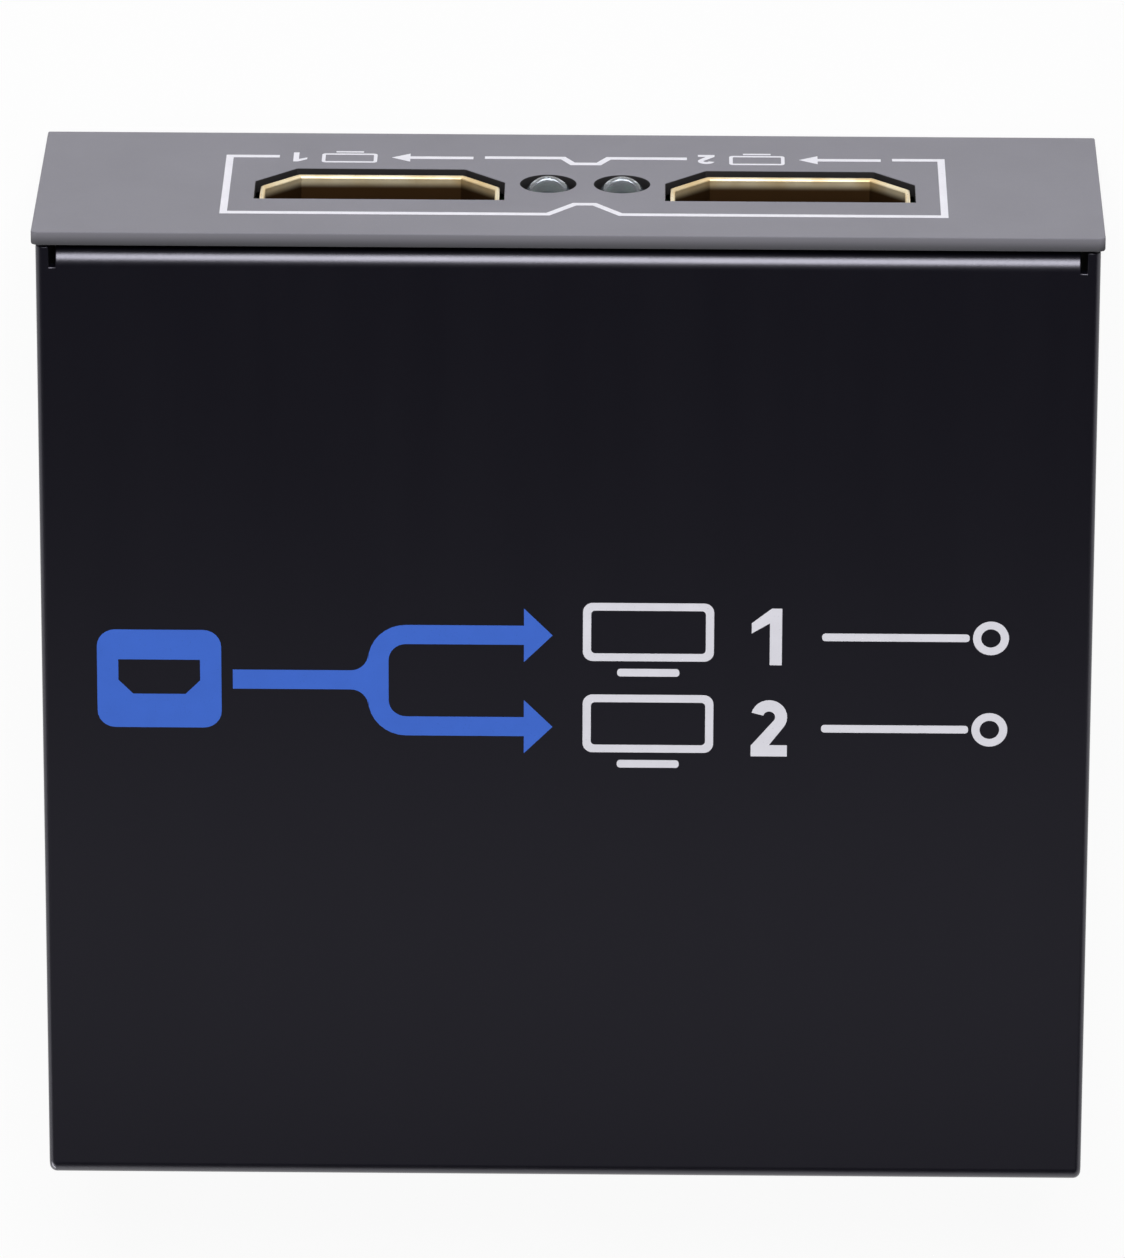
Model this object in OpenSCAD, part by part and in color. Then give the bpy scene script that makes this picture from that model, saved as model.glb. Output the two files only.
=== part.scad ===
// Small one-in, two-out video splitter box. It lies flat on four rubber feet with its black label face up.
// The output end faces +Y and the input end faces -Y. All lengths are in millimetres.

/* [Cover] */
// Width of the black cover across its side walls
cover_w = 64.2; // [60:0.1:72]
// Length of the black cover from end to end
cover_l = 61.15; // [58:0.05:72]
// Sheet thickness of the cover with its paint
cover_t = 0.8; // [0.6:0.05:0.95]
// Outside radius of the bends in the cover
cover_bend_r = 1.4; // [1:0.05:1.6]
// Radius of the upright corners of the cover
cover_corner_r = 0.5; // [0.2:0.05:0.7]
// Depth of the lips folded down at both ends of the cover
lip_h = 2.6; // [2:0.1:3.4]

/* [Chassis] */
// Height of the output panel, from the underside of the base to its top edge
panel_h = 20; // [18:0.25:24]
// How far the output panel stands past the cover, at both sides and above the label face
panel_over = 0.25; // [0.1:0.05:0.8]
// Gap between the end of the cover and the output panel
panel_gap = 0.2; // [0.2:0.05:0.8]
// Corner radius of the end panels
panel_corner_r = 0.4; // [0.2:0.1:0.8]
// Sheet thickness of the chassis with its paint
chassis_t = 0.85; // [0.6:0.05:1]
// Outside radius of the bends in the chassis
chassis_bend_r = 1.1; // [1.1:0.05:1.8]
// Width of the slits that let the side tabs bend out of the base
relief_w = 0.4; // [0.2:0.05:0.6]
// Clearance between the chassis and the cover that slips over it
slip = 0.15; // [0.1:0.05:0.3]

/* [Cover screws] */
// Width of a side tab that takes a cover screw
tab_w = 9; // [8:0.5:12]
// Metal left on a side tab above the axis of its screw
tab_rim = 3.5; // [3:0.25:5]
// Distance between the two screws of one side
cover_screw_pitch = 34; // [26:1:40]
// Height of the cover screws above the underside of the base
cover_screw_rise = 10.5; // [10:0.25:12]
// Thread diameter of a cover screw
cover_screw_d = 2.5; // [2:0.1:3]
// Head diameter of a countersunk cover screw
cover_screw_head_d = 4.7; // [4.2:0.1:5.4]
// Length of a cover screw with its head
cover_screw_l = 4; // [3:0.25:5]
// Clearance round the threads and heads of all screws
screw_gap = 0.05; // [0.03:0.01:0.1]

/* [Feet] */
// Diameter of a rubber foot
foot_d = 8; // [6:0.5:9]
// Height of a rubber foot
foot_h = 1.5; // [1:0.25:3]
// Rounding of the lower edge of a foot
foot_edge_r = 0.4; // [0.2:0.1:0.6]
// Distance from the centre of a foot to the nearest sides of the base
foot_inset = 6; // [5:0.25:8]

/* [Circuit board] */
// Thickness of the circuit board
board_t = 1.6; // [1:0.2:2]
// Gap between the board's edges and the panels and tabs round it
board_gap = 0.9; // [0.6:0.1:1]
// Corner radius of the board
board_corner_r = 1; // [0.5:0.25:2]
// Distance from a board screw to the nearest edges of the board
board_screw_inset = 3.6; // [3.2:0.1:4]
// Thread diameter of a board screw
board_screw_d = 2.5; // [2:0.1:2.6]
// Head diameter of a board screw
board_screw_head_d = 4.5; // [4:0.1:4.8]
// Head height of a board screw
board_screw_head_h = 1.7; // [1.4:0.1:2]
// Length of a board screw under its head
board_screw_l = 5; // [4:0.25:6]
// Height of a standoff between the base and the board
standoff_h = 5.5; // [4.5:0.25:6.5]
// Diameter of a standoff
standoff_d = 4.8; // [4.4:0.1:5.2]
// Diameter of the shank that fixes a standoff in the base
standoff_shank_d = 4; // [3.8:0.1:4.2]
// Clearance round the screws, leads and legs that pass through the board
board_hole_gap = 0.15; // [0.1:0.05:0.2]

/* [Video sockets] */
// Inside width of the mouth of a socket
mouth_w = 14; // [13.8:0.05:14.3]
// Inside height of the mouth of a socket
mouth_h = 4.55; // [4.5:0.05:4.8]
// Width of the bevels at the two lower corners of the mouth
mouth_bevel = 2.1; // [1.5:0.05:2.3]
// Sheet thickness of the shell of a socket
shell_t = 0.3; // [0.2:0.05:0.4]
// Length of the shell of a socket
shell_l = 11; // [10:0.25:12]
// Gap between the shell and the hole for it in the panel
socket_gap = 0.3; // [0.15:0.05:0.4]
// Distance from the outer face of a panel back to the mouth of a socket
socket_setback = 0.3; // [0.2:0.05:0.75]
// Distance between the two output sockets
output_pitch = 25; // [24.5:0.25:28]
// Sideways shift of the output sockets and their lamps from the middle of the box
output_shift = 0.95; // [0:0.05:1.5]
// Sideways place of the input socket
input_x = 11; // [8:0.5:14]
// Length of the plastic block at the back of a socket
block_l = 4.2; // [3.6:0.1:4.6]
// Width of the tongue that carries the contacts
tongue_w = 10.9; // [10.4:0.1:11.4]
// Thickness of the tongue
tongue_t = 1.3; // [1.1:0.05:1.5]
// Height of the underside of the tongue above the floor of the mouth
tongue_rise = 1.75; // [1.6:0.05:1.9]
// Distance from the mouth of a socket back to the tip of the tongue
tongue_setback = 1.4; // [0.8:0.1:2]
// Number of contacts in the upper row of a socket
upper_contacts = 10; // [9:1:10]
// Number of contacts in the lower row of a socket
lower_contacts = 9; // [8:1:9]
// Distance between the contacts of one row
contact_pitch = 1; // [0.9:0.05:1.05]
// Width of a contact
contact_w = 0.3; // [0.2:0.02:0.34]
// Thickness of a contact
contact_t = 0.12; // [0.1:0.01:0.15]

/* [Lamps] */
// Diameter of a lamp
led_d = 3; // [2.6:0.1:3.1]
// Length of a lamp from its flange to its tip
led_l = 5.2; // [4.8:0.1:6]
// Diameter of the flange at the back of a lamp
led_flange_d = 3.8; // [3.5:0.05:3.9]
// Thickness of the flange at the back of a lamp
led_flange_t = 1; // [0.8:0.1:1.4]
// Distance between the two output lamps
led_pitch = 4.5; // [4.2:0.1:4.8]
// Height of the axis of a lamp above the board
led_rise = 2.35; // [2.2:0.05:2.8]
// How far the tip of a lamp stands out of its panel
led_proud = 0.4; // [0.1:0.1:0.8]
// Gap between a lamp and the hole for it in the panel
led_gap = 0.2; // [0.1:0.05:0.25]
// Sideways place of the power lamp
power_led_x = -6; // [-8:0.5:-3]
// Thickness of the square leads of a lamp
lead_t = 0.5; // [0.4:0.05:0.6]
// Distance between the two leads of a lamp
lead_pitch = 2.54; // [2.2:0.02:2.6]

/* [Power jack] */
// Width of the housing of the power jack
jack_w = 7; // [6.6:0.1:7.6]
// Height of the housing of the power jack
jack_h = 6.8; // [6.6:0.1:7.6]
// Length of the housing of the power jack behind the panel
jack_l = 8.6; // [8:0.2:10]
// Diameter of the round nose that passes through the panel
jack_nose_d = 6; // [5.6:0.1:6.4]
// Diameter of the bore that takes the plug
jack_bore_d = 3.8; // [3.6:0.05:4]
// Depth of the bore from the face of the nose
jack_bore_l = 8; // [7:0.25:9]
// Diameter of the centre pin
jack_pin_d = 1.3; // [1.2:0.05:1.4]
// Distance from the face of the nose back to the tip of the pin
jack_pin_setback = 0.6; // [0.4:0.1:1.2]
// Diameter of the pin's stem in the back wall of the housing
jack_stem_d = 0.9; // [0.8:0.05:1]
// How far the nose stands out past the input end of the cover
jack_proud = 0.4; // [0.1:0.1:1]
// Gap between the nose and the hole for it in the panel
jack_gap = 0.25; // [0.15:0.05:0.4]
// Gap between the power jack and the head of the board screw beside it
jack_screw_gap = 1; // [0.4:0.2:3]

/* [Parts on the board] */
// Side of the body of the splitter chip
chip_w = 10; // [9:0.5:12]
// Number of leads along one side of the splitter chip
chip_leads = 16; // [12:1:16]
// Distance between the leads of the splitter chip
chip_lead_pitch = 0.5; // [0.45:0.01:0.55]
// Height of the splitter chip above the board
chip_h = 1.5; // [1.2:0.1:2]
// Width of a small chip between its two rows of leads
small_chip_w = 3.9; // [3.6:0.1:4.2]
// Distance between the leads of a small chip
small_chip_pitch = 1.27; // [1.2:0.01:1.3]
// Diameter of a capacitor can
capacitor_d = 5; // [4:0.25:5.5]
// Height of a capacitor with its base
capacitor_h = 5.4; // [4.5:0.1:6]
// Side of the power coil
coil_w = 6; // [5:0.25:7]
// Height of the power coil
coil_h = 3; // [2.5:0.1:4]
// Length of the crystal can
crystal_l = 10.6; // [9:0.2:11.4]
// Width of the crystal can
crystal_w = 4.2; // [3.8:0.1:4.6]
// Height of the crystal can
crystal_h = 3.5; // [3:0.1:4]
// Length of a chip resistor or capacitor
passive_l = 1.6; // [1.4:0.1:2]
// Width of a chip resistor or capacitor
passive_w = 0.8; // [0.7:0.05:1]
// Height of a chip resistor or capacitor
passive_h = 0.6; // [0.4:0.05:0.8]

/* [Hidden] */
$fn = 48;

// Cutting tools reach this far past the faces that they cut
past = 1;
// Thin gap that keeps a fitted piece clear of the piece round it
fit = 0.03;

// Heights, counted from the surface that the feet stand on
z_under = foot_h;
z_floor = z_under + chassis_t;
z_board = z_floor + standoff_h;
z_parts = z_board + board_t;
z_panel_top = z_under + panel_h;
z_label = z_panel_top - panel_over;
z_ceiling = z_label - cover_t;
z_cover_screw = z_under + cover_screw_rise;
z_led = z_parts + led_rise;

// Widths, counted from the middle of the box
x_cover = cover_w / 2;
x_wall = x_cover - cover_t;
x_chassis = x_wall - slip;
x_tab = x_chassis - chassis_t;
x_board = x_tab - board_gap;
x_panel = x_cover + panel_over;

// Lengths, with the origin midway between the tips of the output lamps and the nose of the power jack
whole_l = jack_proud + cover_l + panel_gap + chassis_t + led_proud;
y_cover_in = jack_proud - whole_l / 2;
y_cover_out = y_cover_in + cover_l;
y_output_back = y_cover_out + panel_gap;
y_output = y_output_back + chassis_t;
y_input = y_cover_in + cover_t + slip;
y_input_back = y_input + chassis_t;
y_board_in = y_input_back + board_gap;
y_board_out = y_output_back - board_gap;
y_board_mid = (y_board_in + y_board_out) / 2;

// The input panel stops short of the rounded inner corner of the cover's lip
z_input_top = z_ceiling - slip - (cover_bend_r - cover_t);

// Sockets in the order output 1, output 2, input: sideways place, place of the mouth and turn
socket_x = [output_shift - output_pitch / 2, output_shift + output_pitch / 2, input_x];
socket_y = [y_output - socket_setback, y_output - socket_setback, y_input + socket_setback];
socket_turn = [0, 0, 180];

// Lamps in the order output 1, output 2, power: sideways place, place of the tip and turn
led_x = [output_shift - led_pitch / 2, output_shift + led_pitch / 2, power_led_x];
led_tip = [y_output + led_proud, y_output + led_proud, y_input - led_proud];
led_turn = [0, 0, 180];
lead_run = 1.5;

// Power jack
jack_panel_gap = 0.2;
jack_x = jack_screw_gap + (jack_w + board_screw_head_d) / 2 + board_screw_inset - x_board;
jack_face = y_cover_in - jack_proud;
jack_front = y_input_back + jack_panel_gap;
z_jack = z_parts + jack_h / 2;

// Legs of a socket shell: starts behind the mouth and length along the shell
front_leg_start = 2;
back_leg_start = 8.2;
leg_l = 1.6;
// Reach of all legs, tails and leads below the board
lead_tail = 1;

// Spring fingers in the roof and floor of a socket shell
finger_w = 1.8;
finger_l = 4.2;
finger_cut_w = 0.3;
finger_root = 7;
finger_bump_r = 0.3;
roof_finger_x = 3.4;
floor_finger_x = 2.4;

// Contacts: tip behind the tongue's edge, bend behind the block and foot on the board
contact_tip_gap = 0.4;
contact_bend_gap = 0.7;
contact_foot_l = 0.9;

// Places of the parts on the board, counted from its middle
chip_place = [1, -1];
memory_places = [[-12.5, 8], [13.5, 8], [10.5, -9.5]];
controller_place = [17.5, -1.5];
regulator_places = [[-22, -4.5], [-22, 5]];
capacitor_places = [[-12.5, -11.5], [-22, 13]];
coil_place = [-13, -3.5];
crystal_place = [0, -12.5];
resistor_places = [[10.5, 2.5], [10.5, 0.5], [10.5, -1.5], [10.5, -3.5], [-7.5, 9], [-7.5, 7]];
ceramic_places = [[-7.5, 3.5], [-7.5, 1.5], [-7.5, -0.5], [-7.5, -2.5], [-3, 9], [0, 9], [3, 9], [6, 9]];

// Extrudes a profile drawn in X and Z from y0 to y1
module along_y(y0, y1) translate([0, y1, 0]) rotate([90, 0, 0]) linear_extrude(y1 - y0) children();

// Extrudes a profile drawn in Y and Z from x0 to x1
module along_x(x0, x1) translate([x0, 0, 0]) rotate([90, 0, 90]) linear_extrude(x1 - x0) children();

// Box between two opposite corners
module block(low, high) translate(low) cube(high - low);

// Rectangle with rounded corners between two opposite corners
module rounded_rectangle(low, high, r) {
    translate([low.x + r, low.y]) square([high.x - low.x - 2 * r, high.y - low.y]);
    translate([low.x, low.y + r]) square([high.x - low.x, high.y - low.y - 2 * r]);
    for (x = [low.x + r, high.x - r], y = [low.y + r, high.y - r])
        translate([x, y]) circle(r);
}

// Rectangle with its two upper corners rounded
module round_topped(left, right, bottom, top, r) {
    translate([left, bottom]) square([right - left, top - r - bottom]);
    translate([left + r, bottom]) square([right - left - 2 * r, top - bottom]);
    for (x = [left + r, right - r])
        translate([x, top - r]) circle(r);
}

// Section of a sheet bent through a right angle, in the lower left quarter round the bend's centre
module bend(r, t) {
    difference() {
        intersection() {
            circle(r);
            translate([-r, -r]) square(r);
        }
        circle(r - t);
    }
}

// Cross-shaped recess of a screw head, opening along +Z at the origin
module cross_recess(w, depth) {
    slot_share = 0.24;
    for (turn = [0, 90])
        rotate(turn) translate([-w / 2, -w * slot_share / 2, -depth])
            cube([w, w * slot_share, depth + past]);
}

module at_board_screws() {
    for (x = [-1, 1] * (x_board - board_screw_inset),
         y = [y_board_in + board_screw_inset, y_board_out - board_screw_inset])
        translate([x, y, 0]) children();
}

// Places of the cover screws, with +Z pointing out of the side wall
module at_cover_screws() {
    for (side = [-1, 1], y = [-1, 1] * cover_screw_pitch / 2)
        translate([side * x_cover, y, z_cover_screw]) rotate([0, side * 90, 0]) children();
}

module at_socket(i) translate([socket_x[i], socket_y[i], z_parts]) rotate(socket_turn[i]) children();

module at_lamp(i) translate([led_x[i], led_tip[i], z_led]) rotate(led_turn[i]) children();

module at_board(place) translate([place.x, y_board_mid + place.y, z_parts]) children();

// Outline of a socket's mouth in X and Z, grown by g on all sides, with the floor of the mouth at zero
module mouth_outline(g) {
    bevel = mouth_bevel + g * (2 - sqrt(2));
    w = mouth_w / 2 + g;
    polygon([
        [-w, mouth_h + g], [w, mouth_h + g],
        [w, bevel - g], [w - bevel, -g], [bevel - w, -g], [-w, bevel - g]
    ]);
}

// Hole in a panel for one socket
module socket_hole(i) translate([socket_x[i], z_parts + shell_t]) mouth_outline(shell_t + socket_gap);

// Hole in a panel for one lamp
module lamp_hole(i) translate([led_x[i], z_led]) circle(d = led_d + 2 * led_gap);

// Chassis: base, both end panels and four side tabs folded from one grey sheet

module base_plate() {
    difference() {
        block([-x_chassis, y_input + chassis_bend_r, z_under],
              [x_chassis, y_output - chassis_bend_r, z_floor]);
        for (side = [-1, 1], y = [-1, 1] * cover_screw_pitch / 2)
            translate([side * x_chassis, y, z_under])
                cube([2 * chassis_bend_r, tab_w + 2 * relief_w, 2 * past + chassis_t], center = true);
        at_board_screws() translate([0, 0, z_under - past])
            cylinder(d = standoff_shank_d + 2 * fit, h = chassis_t + 2 * past);
    }
}

// The bend under the output panel is as wide as the panel, and cut clear of the cover's side walls
module output_panel() {
    along_y(y_output_back, y_output) difference() {
        round_topped(-x_panel, x_panel, z_under + chassis_bend_r, z_panel_top, panel_corner_r);
        for (i = [0, 1]) {
            socket_hole(i);
            lamp_hole(i);
        }
    }
    difference() {
        along_x(-x_panel, x_panel)
            translate([y_output - chassis_bend_r, z_under + chassis_bend_r]) mirror([1, 0])
                bend(chassis_bend_r, chassis_t);
        for (side = [0, 1]) mirror([side, 0, 0])
            block([x_chassis, y_output - chassis_bend_r - past, z_under - past],
                  [x_panel + past, y_cover_out + slip, z_under + chassis_bend_r]);
    }
}

module input_panel() {
    along_y(y_input, y_input_back) difference() {
        union() {
            rounded_rectangle([-x_chassis, z_under + chassis_bend_r],
                              [x_chassis, z_input_top], panel_corner_r);
            translate([-x_chassis, z_under + chassis_bend_r]) square([2 * x_chassis, 2 * panel_corner_r]);
        }
        socket_hole(2);
        lamp_hole(2);
        translate([jack_x, z_jack]) circle(d = jack_nose_d + 2 * jack_gap);
    }
    along_x(-x_chassis, x_chassis)
        translate([y_input + chassis_bend_r, z_under + chassis_bend_r])
            bend(chassis_bend_r, chassis_t);
}

module side_tab(y) {
    along_y(y - tab_w / 2, y + tab_w / 2)
        translate([x_chassis - chassis_bend_r, z_under + chassis_bend_r]) mirror([1, 0])
            bend(chassis_bend_r, chassis_t);
    along_x(x_tab, x_chassis) {
        translate([y - tab_w / 2, z_under + chassis_bend_r])
            square([tab_w, z_cover_screw + tab_rim - z_under - chassis_bend_r]);
    }
}

module chassis() {
    color([0.57, 0.56, 0.6]) difference() {
        union() {
            base_plate();
            output_panel();
            input_panel();
            for (side = [0, 1], y = [-1, 1] * cover_screw_pitch / 2)
                mirror([side, 0, 0]) side_tab(y);
        }
        at_cover_screws() cover_screw_room();
    }
}

// Cover: label face, side walls and two short end lips folded from one black sheet

// Solid within the cover's faces, taken in by an inset
module cover_form(inset, bottom) {
    x = x_cover - inset;
    y_in = y_cover_in + inset;
    y_out = y_cover_out - inset;
    top = z_label - inset;
    r = cover_bend_r - inset;
    intersection() {
        along_y(y_in, y_out) round_topped(-x, x, bottom, top, r);
        along_x(-x, x) round_topped(y_in, y_out, bottom, top, r);
    }
}

module cover() {
    color([0.1, 0.1, 0.11]) difference() {
        intersection() {
            cover_form(0, z_under);
            translate([0, 0, z_under]) linear_extrude(z_label - z_under)
                rounded_rectangle([-x_cover, y_cover_in], [x_cover, y_cover_out], cover_corner_r);
        }
        cover_form(cover_t, z_under - past);
        block([-x_wall, y_cover_in - past, z_under - past], [x_wall, y_cover_out + past, z_label - lip_h]);
        at_cover_screws() cover_screw_room();
    }
}

// Countersunk screws that hold the cover to the side tabs

// Room that a cover screw needs in the sheets that it passes through
module cover_screw_room() {
    head_h = (cover_screw_head_d - cover_screw_d) / 2;
    translate([0, 0, -cover_screw_l - past])
        cylinder(d = cover_screw_d + 2 * screw_gap, h = cover_screw_l + 2 * past);
    translate([0, 0, -head_h])
        cylinder(d1 = cover_screw_d + 2 * screw_gap, d2 = cover_screw_head_d + 2 * screw_gap, h = head_h);
}

module cover_screw() {
    recess_w = 2.4;
    recess_depth = 0.8;
    head_h = (cover_screw_head_d - cover_screw_d) / 2;
    difference() {
        rotate_extrude() polygon([
            [0, 0], [cover_screw_head_d / 2 - screw_gap, 0],
            [cover_screw_d / 2 - screw_gap, -head_h], [cover_screw_d / 2 - screw_gap, -cover_screw_l],
            [0, -cover_screw_l]
        ]);
        cross_recess(recess_w, recess_depth);
    }
}

module cover_screws() color([0.16, 0.16, 0.17]) at_cover_screws() cover_screw();

// Self-adhesive feet under the corners of the base

module rubber_foot() {
    rotate_extrude() {
        square([foot_d / 2 - foot_edge_r, foot_h]);
        translate([0, foot_edge_r]) square([foot_d / 2, foot_h - foot_edge_r]);
        translate([foot_d / 2 - foot_edge_r, foot_edge_r]) circle(foot_edge_r);
    }
}

module rubber_feet() {
    color([0.08, 0.08, 0.08])
        for (x = [-1, 1] * (x_chassis - foot_inset), y = [y_input + foot_inset, y_output - foot_inset])
            translate([x, y, 0]) rubber_foot();
}

// Standoffs pressed into the base, which carry the board

module standoff() {
    difference() {
        union() {
            translate([0, 0, z_floor]) cylinder(d = standoff_d, h = standoff_h);
            translate([0, 0, z_under]) cylinder(d = standoff_shank_d, h = chassis_t);
        }
        translate([0, 0, z_under - past])
            cylinder(d = board_screw_d + 2 * screw_gap, h = chassis_t + standoff_h + 2 * past);
    }
}

module standoffs() color([0.75, 0.74, 0.7]) at_board_screws() standoff();

// Circuit board with holes for screws, socket legs and leads

module circuit_board() {
    color([0.05, 0.32, 0.16]) difference() {
        translate([0, 0, z_board]) linear_extrude(board_t)
            rounded_rectangle([-x_board, y_board_in], [x_board, y_board_out], board_corner_r);
        at_board_screws() translate([0, 0, z_board - past])
            cylinder(d = board_screw_d + 2 * board_hole_gap, h = board_t + 2 * past);
        for (i = [0 : 2]) {
            at_socket(i) socket_legs(board_hole_gap);
            at_lamp(i) for (x = [-1, 1] * lead_pitch / 2)
                translate([x, -led_l - lead_run, -led_rise - board_t - past])
                    cylinder(d = sqrt(2) * lead_t + 2 * board_hole_gap, h = board_t + 2 * past);
        }
        jack_pin_tail(board_hole_gap);
        jack_spring_tail(board_hole_gap);
    }
}

module board_screw() {
    recess_w = 2.4;
    recess_depth = 0.9;
    difference() {
        rotate_extrude() {
            translate([0, -board_screw_l]) square([board_screw_d / 2 - screw_gap, board_screw_l]);
            intersection() {
                square([board_screw_head_d / 2, board_screw_head_h]);
                translate([0, board_screw_head_h - board_screw_head_d]) circle(board_screw_head_d);
            }
        }
        translate([0, 0, board_screw_head_h]) cross_recess(recess_w, recess_depth);
    }
}

module board_screws() color([0.7, 0.7, 0.72]) at_board_screws() translate([0, 0, z_parts]) board_screw();

// Video sockets: plated shell, plastic insulator and contacts, with the mouth at the origin facing +Y

// Legs of the shell, grown by g for the slots in the board
module socket_legs(g) {
    for (side = [0, 1], start = [front_leg_start, back_leg_start]) mirror([side, 0, 0])
        block([mouth_w / 2 - g, -start - leg_l - g, -board_t - lead_tail - g],
              [mouth_w / 2 + shell_t + g, -start + g, shell_t + mouth_bevel]);
}

// U-shaped cut that frees a spring finger in a wall of the shell, drawn in X and Y
module finger_cut() {
    difference() {
        translate([-finger_w / 2 - finger_cut_w, 0])
            square([finger_w + 2 * finger_cut_w, finger_l + finger_cut_w]);
        translate([-finger_w / 2, -past]) square([finger_w, finger_l + past]);
    }
}

// Half-round bump across the end of a spring finger, standing up from the floor or hanging from the roof
module finger_bump(turn) {
    translate([0, finger_l - finger_root - 2 * finger_bump_r, 0])
        along_x(-finger_w / 2, finger_w / 2) rotate(turn) intersection() {
            circle(finger_bump_r);
            translate([-finger_bump_r, 0]) square([2 * finger_bump_r, finger_bump_r]);
        }
}

module socket_shell(i) {
    z_roof = shell_t + mouth_h;
    color([0.83, 0.68, 0.35]) at_socket(i) {
        difference() {
            union() {
                along_y(-shell_l, 0) translate([0, shell_t]) difference() {
                    mouth_outline(shell_t);
                    mouth_outline(0);
                }
                socket_legs(0);
            }
            for (x = [-1, 1] * roof_finger_x)
                translate([x, -finger_root, z_roof - past / 2]) linear_extrude(past + shell_t) finger_cut();
            for (x = [-1, 1] * floor_finger_x)
                translate([x, -finger_root, -past / 2]) linear_extrude(past) finger_cut();
        }
        for (x = [-1, 1] * roof_finger_x) translate([x, 0, z_roof]) finger_bump(180);
        for (x = [-1, 1] * floor_finger_x) translate([x, 0, shell_t]) finger_bump(0);
    }
}

// Side view of a contact in Y and Z: strip on the tongue, bend behind the block and foot on the board
module contact_side(strip_low) {
    tip = tongue_setback + contact_tip_gap;
    bend_y = shell_l + contact_bend_gap;
    polygon([
        [-tip, strip_low], [-tip, strip_low + contact_t],
        [-bend_y - contact_t, strip_low + contact_t], [-bend_y - contact_t, contact_t],
        [-bend_y - contact_foot_l, contact_t], [-bend_y - contact_foot_l, 0],
        [-bend_y, 0], [-bend_y, strip_low]
    ]);
}

// Places across the tongue of one row of contacts
function contact_row(count) = [for (k = [0 : count - 1]) (k - (count - 1) / 2) * contact_pitch];

z_tongue_low = shell_t + tongue_rise;
z_tongue_high = z_tongue_low + tongue_t;

module socket_contacts(i) {
    color([0.9, 0.74, 0.36]) at_socket(i) {
        for (x = contact_row(upper_contacts))
            along_x(x - contact_w / 2, x + contact_w / 2) contact_side(z_tongue_high);
        for (x = contact_row(lower_contacts))
            along_x(x - contact_w / 2, x + contact_w / 2) contact_side(z_tongue_low - contact_t);
    }
}

// Slots that lead one row of contacts through the block
module contact_slots(count, strip_low) {
    for (x = contact_row(count))
        block([x - contact_w / 2 - fit, -shell_l - past, strip_low - fit],
              [x + contact_w / 2 + fit, block_l - shell_l + past, strip_low + contact_t + fit]);
}

module socket_insulator(i) {
    color([0.09, 0.09, 0.1]) at_socket(i) {
        difference() {
            along_y(-shell_l, block_l - shell_l) translate([0, shell_t]) mouth_outline(-fit);
            contact_slots(upper_contacts, z_tongue_high);
            contact_slots(lower_contacts, z_tongue_low - contact_t);
        }
        block([-tongue_w / 2, block_l - shell_l - past, z_tongue_low],
              [tongue_w / 2, -tongue_setback, z_tongue_high]);
    }
}

// Lamps: clear domes that reach through the panels, on leads bent down into the board

module lamp(i) {
    color([0.78, 0.84, 0.9]) at_lamp(i) rotate([90, 0, 0]) rotate_extrude() {
        intersection() {
            translate([0, led_d / 2]) circle(led_d / 2);
            square([led_d / 2, led_d / 2]);
        }
        translate([0, led_d / 2]) square([led_d / 2, led_l - led_d / 2]);
        translate([0, led_l - led_flange_t]) square([led_flange_d / 2, led_flange_t]);
    }
}

module lamp_leads() {
    color([0.72, 0.72, 0.74]) for (i = [0 : 2]) at_lamp(i) for (x = [-1, 1] * lead_pitch / 2)
        along_x(x - lead_t / 2, x + lead_t / 2) {
            reach = led_rise + board_t + lead_tail;
            translate([-led_l - lead_run - lead_t / 2, -lead_t / 2]) square([lead_run + lead_t / 2, lead_t]);
            translate([-led_l - lead_run - lead_t / 2, -reach]) square([lead_t, reach + lead_t / 2]);
        }
}

// Power jack: plastic housing with a round nose, centre pin and side spring

jack_back = jack_front + jack_l;
bore_end = jack_face + jack_bore_l;
pin_tail_w = 1.4;
pin_tail_t = 0.4;
spring_t = 0.25;
spring_w = 1.8;
spring_end_gap = 0.6;
spring_root = bore_end - spring_end_gap;
spring_free = 2.2;

// Window in the side of the housing that the spring lies in
module spring_window() {
    block([jack_x, jack_front + spring_free - 2 * spring_t, z_jack - spring_w / 2 - spring_t],
          [jack_x + jack_w / 2 + past, jack_back + past, z_jack + spring_w / 2 + spring_t]);
}

module jack_housing() {
    color([0.07, 0.07, 0.08]) difference() {
        union() {
            block([jack_x - jack_w / 2, jack_front, z_parts],
                  [jack_x + jack_w / 2, jack_back, z_parts + jack_h]);
            translate([jack_x, jack_front + past, z_jack]) rotate([90, 0, 0])
                cylinder(d = jack_nose_d, h = jack_front + past - jack_face);
        }
        translate([jack_x, bore_end, z_jack]) rotate([90, 0, 0])
            cylinder(d = jack_bore_d, h = jack_bore_l + past);
        translate([jack_x, jack_back + past, z_jack]) rotate([90, 0, 0])
            cylinder(d = jack_stem_d + 2 * fit, h = jack_back + 2 * past - bore_end);
        jack_spring_tail(fit);
        difference() {
            spring_window();
            translate([jack_x, jack_back + 2 * past, z_jack]) rotate([90, 0, 0])
                cylinder(d = jack_bore_d, h = jack_back + 2 * past - bore_end);
        }
    }
}

// Flat tail behind the housing that takes the pin into the board, grown by g for its slot
module jack_pin_tail(g) {
    block([jack_x - pin_tail_w / 2 - g, jack_back - g, z_board - lead_tail - g],
          [jack_x + pin_tail_w / 2 + g, jack_back + pin_tail_t + g, z_jack + pin_tail_w / 2]);
}

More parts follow.
